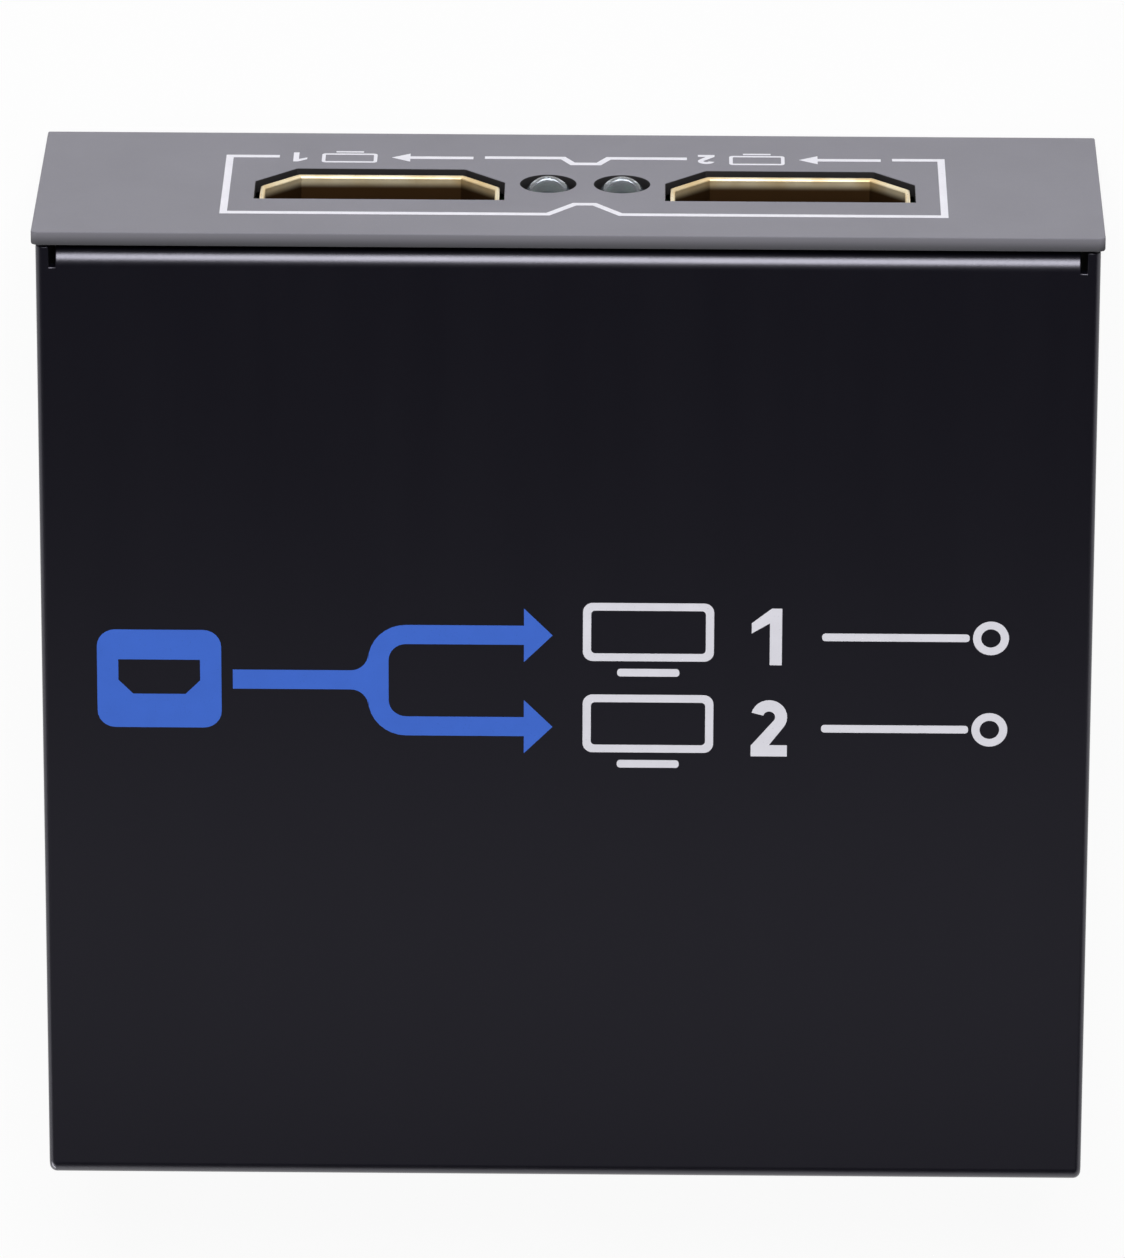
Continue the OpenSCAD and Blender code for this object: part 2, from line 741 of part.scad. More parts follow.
module jack_pin() {
    tip_r = jack_pin_d / 2;
    color([0.8, 0.79, 0.76]) {
        translate([jack_x, bore_end, z_jack]) rotate([90, 0, 0]) rotate_extrude() {
            square([tip_r, jack_bore_l - jack_pin_setback - tip_r]);
            translate([0, jack_bore_l - jack_pin_setback - tip_r]) intersection() {
                circle(tip_r);
                square(tip_r);
            }
            translate([0, bore_end - jack_back]) square([jack_stem_d / 2, jack_back - bore_end]);
        }
        jack_pin_tail(0);
    }
}

// Tail of the side spring, grown by g for its slot in the board
module jack_spring_tail(g) {
    block([jack_x + jack_w / 2 - spring_t - g, spring_root - spring_w - g, z_board - lead_tail - g],
          [jack_x + jack_w / 2 + g, spring_root + g, z_jack]);
}

module jack_spring_contact() {
    bite = 0.2;
    x_in = jack_x + jack_bore_d / 2 - bite;
    x_out = jack_x + jack_w / 2;
    free = jack_front + spring_free;
    color([0.78, 0.77, 0.72]) {
        translate([0, 0, z_jack - spring_w / 2]) linear_extrude(spring_w) polygon([
            [x_in, free], [x_in + spring_t, free], [x_out, spring_root - spring_w], [x_out, spring_root],
            [x_out - spring_t, spring_root], [x_out - spring_t, spring_root - spring_w + spring_t]
        ]);
        jack_spring_tail(0);
    }
}

// Parts soldered on the board

// Gull-wing lead from the edge of a chip at y = 0 out to its foot, drawn in Y and Z
module gull_wing(rise, reach, t) {
    knee_share = 0.4;
    knee = reach * knee_share;
    polygon([
        [0, rise], [knee, rise], [knee, t], [reach, t], [reach, 0],
        [knee - t, 0], [knee - t, rise - t], [0, rise - t]
    ]);
}

chip_lead_rise = 0.75;
chip_lead_reach = 1;
chip_lead_w = 0.22;
chip_lead_t = 0.15;
chip_clear = 0.1;

module splitter_chip() {
    color([0.07, 0.07, 0.08]) at_board(chip_place)
        block([-chip_w / 2, -chip_w / 2, chip_clear], [chip_w / 2, chip_w / 2, chip_h]);
}

module splitter_chip_leads() {
    color([0.72, 0.72, 0.74]) at_board(chip_place) for (turn = [0 : 90 : 270], k = [0 : chip_leads - 1])
        rotate(turn) {
            x = (k - (chip_leads - 1) / 2) * chip_lead_pitch;
            translate([0, chip_w / 2, 0])
                along_x(x - chip_lead_w / 2, x + chip_lead_w / 2)
                    gull_wing(chip_lead_rise, chip_lead_reach, chip_lead_t);
        }
}

small_chip_h = 1.6;
small_chip_end = 0.6;
small_lead_w = 0.42;
small_lead_t = 0.2;
small_lead_rise = 0.9;
small_lead_reach = 1;
memory_leads = 4;
controller_leads = 8;

// Body of a chip with two rows of leads, its length along Y
module small_chip_body(leads) {
    l = (leads - 1) * small_chip_pitch + 2 * small_chip_end;
    block([-small_chip_w / 2, -l / 2, chip_clear], [small_chip_w / 2, l / 2, small_chip_h]);
}

module small_chip_rows(leads) {
    for (side = [0, 180], k = [0 : leads - 1]) rotate(side - 90) {
        x = (k - (leads - 1) / 2) * small_chip_pitch;
        translate([0, small_chip_w / 2, 0])
            along_x(x - small_lead_w / 2, x + small_lead_w / 2)
                gull_wing(small_lead_rise, small_lead_reach, small_lead_t);
    }
}

module memory_chips() {
    color([0.08, 0.08, 0.09]) for (place = memory_places) at_board(place) small_chip_body(memory_leads);
}

module controller_chip() {
    color([0.08, 0.08, 0.09]) at_board(controller_place) small_chip_body(controller_leads);
}

module small_chip_leads() {
    color([0.72, 0.72, 0.74]) {
        for (place = memory_places) at_board(place) small_chip_rows(memory_leads);
        at_board(controller_place) small_chip_rows(controller_leads);
    }
}

regulator_size = [3.5, 6.5, 1.7];
regulator_tab = [1.8, 3, 0.3];
regulator_leads = 3;
regulator_pitch = 2.3;
regulator_lead_w = 0.7;

module regulators() {
    color([0.08, 0.08, 0.09]) for (place = regulator_places) at_board(place)
        block([-regulator_size.x / 2, -regulator_size.y / 2, chip_clear],
              [regulator_size.x / 2, regulator_size.y / 2, regulator_size.z]);
}

module regulator_tabs() {
    color([0.72, 0.72, 0.74]) for (place = regulator_places) at_board(place) {
        translate([-regulator_size.x / 2, 0, 0]) rotate(90)
            along_x(-regulator_tab.y / 2, regulator_tab.y / 2)
                gull_wing(small_lead_rise, regulator_tab.x, regulator_tab.z);
        translate([regulator_size.x / 2, 0, 0]) rotate(-90)
            for (k = [0 : regulator_leads - 1]) {
                x = (k - (regulator_leads - 1) / 2) * regulator_pitch;
                along_x(x - regulator_lead_w / 2, x + regulator_lead_w / 2)
                    gull_wing(small_lead_rise, regulator_tab.x, regulator_tab.z);
            }
    }
}

capacitor_base_h = 0.8;
capacitor_base_rim = 0.15;
can_edge_r = 0.3;

module capacitor_bases() {
    half = capacitor_d / 2 + capacitor_base_rim;
    cut = capacitor_d / 4;
    color([0.06, 0.06, 0.07]) for (place = capacitor_places) at_board(place) linear_extrude(capacitor_base_h)
        polygon([
            [-half, -half], [half, -half], [half, half - cut],
            [half - cut, half], [cut - half, half], [-half, half - cut]
        ]);
}

module capacitor_cans() {
    can_h = capacitor_h - capacitor_base_h;
    color([0.78, 0.78, 0.8]) for (place = capacitor_places) at_board(place)
        translate([0, 0, capacitor_base_h]) rotate_extrude() {
            square([capacitor_d / 2, can_h - can_edge_r]);
            square([capacitor_d / 2 - can_edge_r, can_h]);
            translate([capacitor_d / 2 - can_edge_r, can_h - can_edge_r]) circle(can_edge_r);
        }
}

coil_corner = 0.8;
coil_wall = 0.5;
coil_pocket = 0.4;

module power_coil() {
    half = coil_w / 2;
    color([0.16, 0.16, 0.17]) at_board(coil_place) difference() {
        linear_extrude(coil_h) polygon([
            for (turn = [0 : 90 : 270], y = [-1, 1] * (half - coil_corner))
                [half * cos(turn) - y * sin(turn), half * sin(turn) + y * cos(turn)]
        ]);
        translate([0, 0, coil_h - coil_pocket]) cylinder(d = coil_w - 2 * coil_wall, h = coil_pocket + past);
    }
}

module coil_core() {
    color([0.24, 0.24, 0.25]) at_board(coil_place) translate([0, 0, coil_h - coil_pocket])
        cylinder(d = coil_w - 4 * coil_wall, h = coil_pocket);
}

crystal_base_h = 0.5;
crystal_rim = 0.4;

// Outline with two round ends
module long_round(l, w) {
    square([l - w, w], center = true);
    for (x = [-1, 1] * (l - w) / 2) translate([x, 0]) circle(d = w);
}

module crystal_base() {
    color([0.68, 0.68, 0.7]) at_board(crystal_place)
        linear_extrude(crystal_base_h) long_round(crystal_l, crystal_w);
}

module crystal_can() {
    color([0.8, 0.8, 0.82]) at_board(crystal_place) translate([0, 0, crystal_base_h])
        linear_extrude(crystal_h - crystal_base_h)
            long_round(crystal_l - crystal_rim, crystal_w - crystal_rim);
}

terminal_l = 0.3;

// Body of a chip resistor or capacitor between its two terminals
module passive_body() {
    block([terminal_l - passive_l / 2, -passive_w / 2, 0],
          [passive_l / 2 - terminal_l, passive_w / 2, passive_h]);
}

module chip_resistors() {
    color([0.09, 0.09, 0.1]) for (place = resistor_places) at_board(place) passive_body();
}

module chip_capacitors() {
    color([0.62, 0.5, 0.36]) for (place = ceramic_places) at_board(place) passive_body();
}

module passive_terminals() {
    color([0.75, 0.75, 0.77]) for (place = concat(resistor_places, ceramic_places), side = [0, 1])
        at_board(place) mirror([side, 0, 0])
            block([passive_l / 2 - terminal_l, -passive_w / 2, 0],
                  [passive_l / 2, passive_w / 2, passive_h]);
}

chassis();
cover();
cover_screws();
rubber_feet();
standoffs();
circuit_board();
board_screws();
socket_shell(0);  // output_1_shell
socket_insulator(0);  // output_1_insulator
socket_contacts(0);  // output_1_contacts
socket_shell(1);  // output_2_shell
socket_insulator(1);  // output_2_insulator
socket_contacts(1);  // output_2_contacts
socket_shell(2);  // input_shell
socket_insulator(2);  // input_insulator
socket_contacts(2);  // input_contacts
lamp(0);  // output_1_lamp
lamp(1);  // output_2_lamp
lamp(2);  // power_lamp
lamp_leads();
jack_housing();
jack_pin();
jack_spring_contact();
splitter_chip();
splitter_chip_leads();
memory_chips();
controller_chip();
small_chip_leads();
regulators();
regulator_tabs();
capacitor_cans();
capacitor_bases();
power_coil();
coil_core();
crystal_can();
crystal_base();
chip_resistors();
chip_capacitors();
passive_terminals();
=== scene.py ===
import math

import bmesh
import bpy
from mathutils import Matrix, Vector


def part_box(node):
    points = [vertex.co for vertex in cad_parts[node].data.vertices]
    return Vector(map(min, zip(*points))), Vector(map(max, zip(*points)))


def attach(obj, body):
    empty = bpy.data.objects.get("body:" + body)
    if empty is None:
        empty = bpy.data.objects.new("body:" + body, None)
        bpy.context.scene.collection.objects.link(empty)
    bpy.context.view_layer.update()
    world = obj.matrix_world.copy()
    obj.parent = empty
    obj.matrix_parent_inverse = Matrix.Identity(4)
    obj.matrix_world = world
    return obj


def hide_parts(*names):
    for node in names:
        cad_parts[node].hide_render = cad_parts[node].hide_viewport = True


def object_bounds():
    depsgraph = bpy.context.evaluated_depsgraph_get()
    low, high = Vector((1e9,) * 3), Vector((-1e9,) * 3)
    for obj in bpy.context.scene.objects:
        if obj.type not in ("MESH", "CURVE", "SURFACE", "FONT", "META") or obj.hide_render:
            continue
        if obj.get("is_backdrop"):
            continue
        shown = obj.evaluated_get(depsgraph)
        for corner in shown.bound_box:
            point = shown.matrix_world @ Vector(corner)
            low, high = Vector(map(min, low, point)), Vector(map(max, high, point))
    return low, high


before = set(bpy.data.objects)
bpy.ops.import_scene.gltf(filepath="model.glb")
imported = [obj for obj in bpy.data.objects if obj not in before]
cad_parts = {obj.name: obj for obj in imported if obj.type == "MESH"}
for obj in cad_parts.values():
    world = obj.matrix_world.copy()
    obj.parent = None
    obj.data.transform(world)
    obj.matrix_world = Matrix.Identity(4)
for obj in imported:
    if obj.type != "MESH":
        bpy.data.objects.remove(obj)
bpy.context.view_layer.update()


# Chassis: base, two end panels and four side tabs, punched and folded from one sheet of steel.
# It is sprayed satin grey after folding. Its cut edges carry painted shade: near black on the walls of the
# holes, and on the rims of the panels darker towards the inside of the box.

MM = 0.001


class Tone:
    """A socket in the nodes of a finish. Sums on it add Math nodes."""

    def __init__(self, finish, socket):
        self.finish = finish
        self.socket = socket

    def math(self, operation, *values):
        return self.finish.node("ShaderNodeMath", {"operation": operation}, dict(enumerate(values)))

    def __add__(self, other):
        return self.math("ADD", self, other)

    def __radd__(self, other):
        return self.math("ADD", other, self)

    def __sub__(self, other):
        return self.math("SUBTRACT", self, other)

    def __rsub__(self, other):
        return self.math("SUBTRACT", other, self)

    def __mul__(self, other):
        return self.math("MULTIPLY", self, other)

    def __rmul__(self, other):
        return self.math("MULTIPLY", other, self)

    def __abs__(self):
        return self.math("ABSOLUTE", self)

    def __gt__(self, other):
        return self.math("GREATER_THAN", self, other)

    def __lt__(self, other):
        return self.math("LESS_THAN", self, other)

    def __or__(self, other):
        return self.math("MAXIMUM", self, other)

    def __mod__(self, other):
        return self.math("FLOORED_MODULO", self, other)


class Finish:
    """A material whose nodes are added one by one."""

    def __init__(self, name):
        self.material = bpy.data.materials.new(name)
        self.material.use_nodes = True
        self.tree = self.material.node_tree
        self.tree.nodes.clear()
        self.place = self.node("ShaderNodeTexCoord", {}, {}, "Object")
        self.facing = self.node("ShaderNodeTexCoord", {}, {}, "Normal")
        self.within = self.node("ShaderNodeTexCoord", {}, {}, "Generated")

    def node(self, kind, settings, sockets, output=0):
        made = self.tree.nodes.new(kind)
        for key, value in settings.items():
            setattr(made, key, value)
        for key, value in sockets.items():
            if isinstance(value, Tone):
                self.tree.links.new(value.socket, made.inputs[key])
            else:
                made.inputs[key].default_value = value
        return Tone(self, made.outputs[output]) if made.outputs else None

    def along(self, axis, vector=None):
        return self.node("ShaderNodeSeparateXYZ", {}, {0: vector or self.place}, axis)

    def stretched(self, sx, sy, sz):
        scale = {0: self.place, 1: (sx, sy, sz)}
        return self.node("ShaderNodeVectorMath", {"operation": "MULTIPLY"}, scale)

    def noise(self, grain, detail=2.0, place=None):
        """Cloudy noise with features of about the given size in metres."""
        sockets = {"Vector": place or self.place, "Scale": 1 / grain, "Detail": detail}
        return self.node("ShaderNodeTexNoise", {}, sockets)

    def step(self, value, low, high):
        ends = {"Value": value, "From Min": low, "From Max": high}
        return self.node("ShaderNodeMapRange", {"interpolation_type": "SMOOTHSTEP"}, ends)

    def mix(self, share, first, second):
        colours = [c if isinstance(c, Tone) else (*c, 1.0) for c in (first, second)]
        sockets = {0: share, 6: colours[0], 7: colours[1]}
        return self.node("ShaderNodeMix", {"data_type": "RGBA"}, sockets, 2)

    def relief(self, height, depth, strength):
        sockets = {"Height": height, "Distance": depth, "Strength": strength}
        return self.node("ShaderNodeBump", {}, sockets)

    def coat(self, **sockets):
        named = {key.replace("_", " "): value for key, value in sockets.items()}
        shader = self.node("ShaderNodeBsdfPrincipled", {}, named)
        self.node("ShaderNodeOutputMaterial", {}, {"Surface": shader})
        return self.material


def tinted(colour, share):
    return tuple(share * c for c in colour)


def sprayed_coat(finish, colour, gloss_roughness):
    """Colour, roughness and normal of spray paint: uneven tone, orange peel and fine grit."""
    cloud = finish.noise(7 * MM, 3)
    peel = finish.noise(0.5 * MM, 1)
    grit = finish.noise(0.08 * MM, 1)
    smear = finish.noise(2.5 * MM, 4, finish.stretched(1, 0.12, 1))
    tone = finish.mix(cloud, tinted(colour, 0.9), tinted(colour, 1.1))
    speck = finish.step(grit, 0.62, 0.78)
    return {
        "Base_Color": finish.mix(0.25 * speck, tone, tinted(colour, 1.7)),
        "Roughness": gloss_roughness - 0.065 + 0.05 * smear + 0.08 * grit,
        "Normal": finish.relief(0.8 * peel + 0.2 * grit, 0.014 * MM, 0.25),
    }


SHARP_FROM = math.radians(38)
WELD = 0.0005 * MM


def round_over(form, width, segments, picked=None):
    """Breaks the sharp edges of a bmesh, or those of them that a test picks, by a round."""
    sharp = [e for e in form.edges if e.is_manifold and e.calc_face_angle() > SHARP_FROM]
    bmesh.ops.bevel(
        form, geom=list(filter(picked, sharp)), offset=width, offset_type="OFFSET", segments=segments,
        profile=0.5, affect="EDGES", clamp_overlap=False,
    )


def eased(node, name, width, lead_in=None):
    """A copy of a CAD node, in the same place, whose sharp edges are broken by a small round."""
    flat_within = math.radians(0.6)
    form = bmesh.new()
    form.from_mesh(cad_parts[node].data)
    bmesh.ops.remove_doubles(form, verts=form.verts, dist=WELD)
    bmesh.ops.dissolve_limit(form, angle_limit=flat_within, verts=form.verts, edges=form.edges)
    if lead_in:
        lead_width, picked = lead_in
        round_over(form, lead_width, 4, picked)
    round_over(form, width, 2)
    piece = settled(form, name)
    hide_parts(node)
    return piece


def settled(form, name):
    """Makes a riding piece of a bmesh, with flat faces kept flat beside its rounded edges."""
    mesh = bpy.data.meshes.new(name)
    form.to_mesh(mesh)
    form.free()
    for spare in [a.name for a in mesh.attributes if a.name == "custom_normal"]:
        mesh.attributes.remove(mesh.attributes[spare])
    mesh.shade_smooth()
    mesh.set_sharp_from_angle(angle=SHARP_FROM)
    piece = bpy.data.objects.new(name, mesh)
    bpy.context.scene.collection.objects.link(piece)
    keep_flat = piece.modifiers.new("keep_flat", "WEIGHTED_NORMAL")
    keep_flat.keep_sharp = True
    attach(piece, "root")
    return piece


def dress(piece, material):
    piece.data.materials.clear()
    piece.data.materials.append(material)


def grey_paint():
    colour = (0.218, 0.213, 0.245)
    # Painted shade on the cut edges: the rim tone runs from the outer face to a darker inner one, and the
    # hole walls are near black.
    rim_front = (0.2, 0.195, 0.22)
    rim_inner_painted_shade = (0.065, 0.064, 0.071)
    hole_wall_painted_shade = (0.012, 0.011, 0.012)
    sheet_t = 0.85 * MM
    bend_h = 1.2 * MM
    rim_band = 0.14 * MM
    edge_on = 0.6
    finish = Finish("satin_grey_paint")
    low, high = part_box("chassis")
    x, y, z = (finish.along(axis) for axis in "XYZ")
    in_panel = (y > high.y - sheet_t) | (y < low.y + sheet_t)
    cut = in_panel * (abs(finish.along("Y", finish.facing)) < edge_on) * (z > low.z + bend_h)
    rim = finish.step(z, high.z - rim_band, high.z) | finish.step(abs(x), high.x - rim_band, high.x)
    rim_painted_shade_ramp = finish.mix(finish.step(y, high.y - sheet_t, high.y), rim_inner_painted_shade, rim_front)
    cut_edge_painted_shade = finish.mix(rim > 0.02, hole_wall_painted_shade, rim_painted_shade_ramp)
    coat = sprayed_coat(finish, colour, 0.52)
    # The cut edges of the panels take this painted shade in place of the grey.
    coat["Base_Color"] = finish.mix(cut, coat["Base_Color"], cut_edge_painted_shade)
    coat["Roughness"] = coat["Roughness"] + 0.2 * cut
    return finish.coat(Specular_IOR_Level=0.3, **coat)


chassis = eased("chassis", "chassis_sheet", 0.09 * MM)
dress(chassis, grey_paint())


# Rubber feet: four soft discs, moulded with a rounded rim and stuck under the corners of the base.
# The rubber is matt, and its standing face has picked up pale dust.

def foot_rubber():
    finish = Finish("matt_foot_rubber")
    grain = finish.noise(0.22 * MM, 3)
    bloom = finish.noise(2.2 * MM, 2)
    dust = finish.step(finish.along("Z"), 0.5 * MM, 0.0) * finish.step(bloom, 0.35, 0.7)
    tone = finish.mix(bloom, (0.011, 0.011, 0.012), (0.021, 0.021, 0.022))
    return finish.coat(
        Base_Color=finish.mix(0.5 * dust, tone, (0.16, 0.15, 0.14)),
        Roughness=0.78 + 0.14 * grain,
        Specular_IOR_Level=0.3,
        Normal=finish.relief(grain, 0.03 * MM, 0.4),
    )


dress(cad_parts["rubber_feet"], foot_rubber())


# Standoffs: four turned steel bushes, zinc plated and pressed into the base to carry the board.
# The lathe leaves fine rings round them.

def turned_zinc():
    finish = Finish("turned_zinc")
    rings = finish.noise(0.09 * MM, 1, finish.stretched(0.02, 0.02, 1))
    bloom = finish.noise(1.4 * MM, 3)
    return finish.coat(
        Base_Color=finish.mix(bloom, (0.5, 0.5, 0.48), (0.68, 0.67, 0.62)),
        Metallic=1.0,
        Roughness=0.22 + 0.16 * bloom + 0.1 * rings,
        Normal=finish.relief(rings, 0.01 * MM, 0.4),
    )


zinc = turned_zinc()
dress(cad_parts["standoffs"], zinc)


# Circuit board: glass laminate under green solder mask, with copper runs that show through it
# as paler lines, and tinned holes between them.

def solder_mask():
    pitch = 0.9 * MM
    run_w = 0.42 * MM
    slant = 1.4
    finish = Finish("green_solder_mask")
    x, y = finish.along("X"), finish.along("Y")
    turn = finish.noise(6.5 * MM, 0)
    runs_x = (y % pitch) < run_w
    runs_y = (x % pitch) < run_w
    runs_slant = ((x + y) % (slant * pitch)) < (slant * run_w)
    across = turn < 0.43
    upright = turn > 0.57
    runs = across * runs_x + upright * runs_y + (1 - across) * (1 - upright) * runs_slant
    bare = finish.noise(11 * MM, 1) > 0.6
    runs = runs * (1 - bare)
    cells = {"Vector": finish.place, "Scale": 1 / (2.6 * MM), "Randomness": 0.7}
    spot = finish.node("ShaderNodeTexVoronoi", {"voronoi_dimensions": "2D"}, cells)
    via = spot < 0.09
    weave = finish.noise(0.35 * MM, 1, finish.stretched(1, 0.2, 1))
    tone = finish.mix(runs, (0.006, 0.058, 0.022), (0.014, 0.115, 0.042))
    return finish.coat(
        Base_Color=finish.mix(via, tone, (0.6, 0.58, 0.52)),
        Metallic=via,
        Roughness=0.26 + 0.1 * weave,
        Normal=finish.relief(runs + 0.15 * weave, 0.03 * MM, 0.5),
    )


dress(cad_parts["circuit_board"], solder_mask())


# Video sockets: a shell drawn and folded from thin strip and flashed with gold, a black moulded
# insulator with a tongue, and two rows of gilt contacts. They are soldered along both board ends.

def gold_flash(name, pale, deep, roughness, socket=None):
    """Thin gold on drawn strip. Inside a socket the colour turns dark brown a little way behind the mouth:
    painted shade in its hollow.
    """
    wall = 0.12 * MM
    shade_begins, shade_full = 0.3 * MM, 0.8 * MM
    finish = Finish(name)
    drawn = finish.noise(0.25 * MM, 3, finish.stretched(1, 0.06, 1))
    tarnish = finish.noise(2.4 * MM, 3)
    tone = finish.mix(finish.step(tarnish, 0.3, 0.75), pale, deep)
    rough = roughness + 0.1 * drawn
    if socket:
        mouth_low, mouth_high, face, outward = socket
        x, y, z = (finish.along(axis) for axis in "XYZ")
        inside = (x > mouth_low.x - wall) * (x < mouth_high.x + wall)
        inside = inside * (z > mouth_low.z - wall) * (z < mouth_high.z + wall)
        # Painted shade: deeper inside the socket the gold is replaced by dark brown.
        painted_shade_depth = finish.step((face - y) * outward, shade_begins, shade_full)
        tone = finish.mix(inside * painted_shade_depth, tone, (0.07, 0.036, 0.014))
        rough = rough + 0.25 * inside
    return finish.coat(
        Base_Color=tone,
        Metallic=1.0,
        Roughness=rough,
        Normal=finish.relief(drawn, 0.008 * MM, 0.35),
    )


def moulded_black(name, colour, gloss_roughness, grain_size):
    finish = Finish(name)
    flow = finish.noise(3 * MM, 3)
    grain = finish.noise(grain_size, 2)
    return finish.coat(
        Base_Color=finish.mix(flow, tinted(colour, 0.75), tinted(colour, 1.35)),
        Roughness=gloss_roughness + 0.12 * grain,
        Specular_IOR_Level=0.4,
        Normal=finish.relief(grain, 0.015 * MM, 0.3),
    )


def mouth_edges(mouth_low, mouth_high, face):
    """A test for the edges of a shell that lie round its mouth, on its face."""
    slack = 0.01 * MM

    def picked(edge):
        ends = [v.co for v in edge.verts]
        on_face = all(abs(end.y - face) < slack for end in ends)
        in_width = all(mouth_low.x - slack < end.x < mouth_high.x + slack for end in ends)
        in_height = all(mouth_low.z - slack < end.z < mouth_high.z + slack for end in ends)
        return on_face and in_width and in_height

    return picked


contact_gold = gold_flash("gilt_contacts", (0.9, 0.72, 0.38), (0.76, 0.55, 0.24), 0.18)
socket_plastic = moulded_black("socket_moulding", (0.012, 0.011, 0.011), 0.42, 0.2 * MM)
shell_gold = (0.9, 0.8, 0.58), (0.74, 0.56, 0.3)
mouth_w, mouth_floor, mouth_top = 14 * MM, 0.3 * MM, 4.85 * MM
lead_w, shell_round = 0.2 * MM, 0.05 * MM
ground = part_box("circuit_board")[1].z
for socket, outward in (("output_1", 1), ("output_2", 1), ("input", -1)):
    low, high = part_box(socket + "_shell")
    face = high.y if outward > 0 else low.y
    middle = (low.x + high.x) / 2
    mouth_low = Vector((middle - mouth_w / 2, 0, ground + mouth_floor))
    mouth_high = Vector((middle + mouth_w / 2, 0, ground + mouth_top))
    mouth = (mouth_low, mouth_high, face, outward)
    lead_in = (lead_w, mouth_edges(mouth_low, mouth_high, face))
    shell = eased(socket + "_shell", socket + "_drawn_shell", shell_round, lead_in)
    dress(shell, gold_flash(socket + "_gold", *shell_gold, 0.24, mouth))
    dress(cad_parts[socket + "_insulator"], socket_plastic)
    dress(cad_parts[socket + "_contacts"], contact_gold)


# Lamps: clear epoxy domes cast round a tinned lead frame, whose cup holds the light chip.
# They stand on bent leads behind the panels and reach through them.

def clear_epoxy():
    finish = Finish("clear_lamp_epoxy")
    haze = finish.noise(0.8 * MM, 3)
    return finish.coat(
        Base_Color=finish.mix(haze, (0.66, 0.74, 0.84), (0.82, 0.89, 0.96)),
        Roughness=0.04 + 0.07 * haze,
        IOR=1.52,
        Transmission_Weight=0.94,
    )


def bright_tin():
    finish = Finish("bright_tin")
    bloom = finish.noise(0.6 * MM, 3)
    return finish.coat(
        Base_Color=finish.mix(bloom, (0.52, 0.52, 0.53), (0.74, 0.74, 0.73)),
        Metallic=1.0,
        Roughness=0.2 + 0.25 * bloom,
        Normal=finish.relief(bloom, 0.01 * MM, 0.3),
    )


def lathed(form, profile, place, steps=28):
    """Adds a closed ring profile of (radius, height) turned round Z, moved by a matrix."""
    rings = []
    for radius, height in profile:
        angles = [math.tau * k / steps for k in range(steps)]
        points = [Vector((radius * math.cos(a), radius * math.sin(a), height)) for a in angles]
        rings.append([form.verts.new(place @ p) for p in points])
    for lower, upper in zip(rings, rings[1:] + rings[:1]):
        for k in range(steps):
            after = (k + 1) % steps
            form.faces.new((lower[k], upper[k], upper[after], lower[after]))


tin = bright_tin()
epoxy = clear_epoxy()
cup_depth = 3.1 * MM
cup_profile = [(0.1, 0.0), (0.3, 0.0), (0.62, 0.55), (0.75, 0.55), (0.5, -0.4), (0.1, -0.4)]
cups = bmesh.new()
for lamp, outward in (("output_1_lamp", 1), ("output_2_lamp", 1), ("power_lamp", -1)):
    dress(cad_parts[lamp], epoxy)
    low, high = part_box(lamp)
    tip = high.y if outward > 0 else low.y
    seat = Matrix.Translation(((low.x + high.x) / 2, tip - outward * cup_depth, (low.z + high.z) / 2))
    facing = Matrix.Rotation(-outward * math.pi / 2, 4, "X")
    lathed(cups, [(r * MM, h * MM) for r, h in cup_profile], seat @ facing)
lamp_cups = settled(cups, "lamp_cups")
dress(lamp_cups, tin)
dress(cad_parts["lamp_leads"], tin)


# Power jack: a black moulded housing with a round nose, a nickel-plated centre pin and a side spring.
# It is soldered to the board, and its nose reaches through the input panel.

def nickel_plate():
    finish = Finish("nickel_plate")
    drawn = finish.noise(0.18 * MM, 2, finish.stretched(1, 0.1, 1))
    return finish.coat(
        Base_Color=finish.mix(drawn, (0.56, 0.54, 0.49), (0.74, 0.72, 0.67)),
        Metallic=1.0,
        Roughness=0.16 + 0.12 * drawn,
        Normal=finish.relief(drawn, 0.006 * MM, 0.3),
    )


jack = eased("jack_housing", "jack_moulding", 0.1 * MM)
dress(jack, moulded_black("jack_moulding", (0.013, 0.013, 0.014), 0.36, 0.25 * MM))
nickel = nickel_plate()
dress(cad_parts["jack_pin"], nickel)
dress(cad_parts["jack_spring_contact"], nickel)


# Parts on the board: chips moulded in black epoxy on tinned leads, capacitors, a coil and a crystal.
# They are soldered on by machine.

def chip_epoxy():
    finish = Finish("chip_epoxy")
    filler = finish.noise(0.06 * MM, 2)
    flow = finish.noise(1.8 * MM, 2)
    return finish.coat(
        Base_Color=finish.mix(flow, (0.008, 0.008, 0.009), (0.017, 0.017, 0.018)),
        Roughness=0.5 + 0.25 * filler,
        Normal=finish.relief(filler, 0.01 * MM, 0.5),
    )


def drawn_metal(finish, colour):
    drawn = finish.noise(0.2 * MM, 2, finish.stretched(1, 1, 0.08))
    return {
        "Base_Color": finish.mix(drawn, tinted(colour, 0.88), tinted(colour, 1.1)),
        "Roughness": 0.25 + 0.14 * drawn,
        "Normal": finish.relief(drawn, 0.006 * MM, 0.3),
    }


def marked_can():
    """Aluminium can of a capacitor, with a black segment printed on its top over the minus lead."""
    segment = 0.3
    finish = Finish("capacitor_can")
    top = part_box("capacitor_cans")[1].z
    can = drawn_metal(finish, (0.72, 0.72, 0.73))
    on_top = finish.along("Z") > top - 0.05 * MM
    printed = on_top * (finish.along("X", finish.within) < segment)
    can["Base_Color"] = finish.mix(printed, can["Base_Color"], (0.01, 0.01, 0.012))
    return finish.coat(Metallic=1 - 0.9 * printed, **can)


def plain_can():
    finish = Finish("crystal_can")
    return finish.coat(Metallic=1.0, **drawn_metal(finish, (0.6, 0.6, 0.6)))


